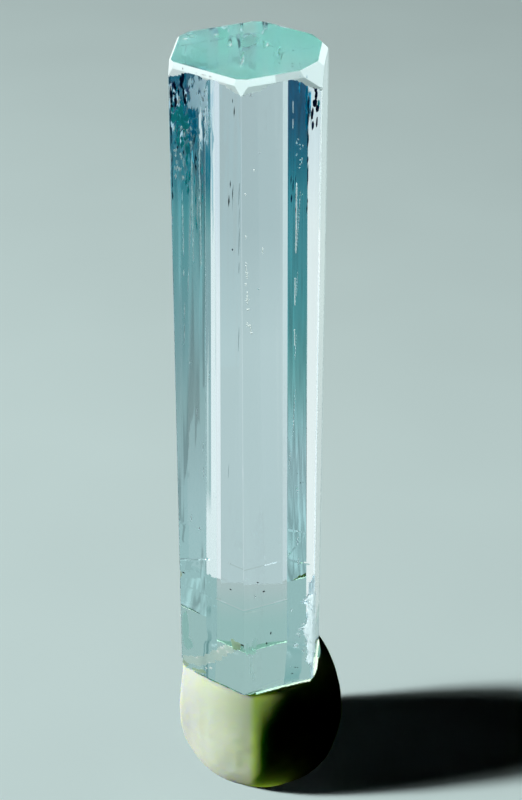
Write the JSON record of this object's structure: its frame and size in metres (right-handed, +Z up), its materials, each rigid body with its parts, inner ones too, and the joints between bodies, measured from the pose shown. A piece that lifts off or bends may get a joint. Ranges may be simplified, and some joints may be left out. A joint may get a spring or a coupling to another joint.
{
  "type": "jeremejevite crystal on mounting putty",
  "caption": "Slender clear pale blue six-sided crystal prism with a flat bevelled end, standing upright on a small round lump of pale green putty.",
  "frame": {"origin": "on the table, under the middle of the putty's foot", "axes": "+Z up along the crystal's length; -Y is the front, where one of the crystal's long edges faces; +X to the right"},
  "size_m": [0.0081, 0.0079, 0.0375],
  "materials": {
    "clear_crystal": "clear pale blue crystal with glassy faces, fine lengthwise ridges and frosted chips",
    "putty": "matt pale yellow-green putty with soft finger dents"
  },
  "bodies": {
    "root": {"crystal": "clear_crystal", "putty_base": "putty"}
  },
  "joints": []
}
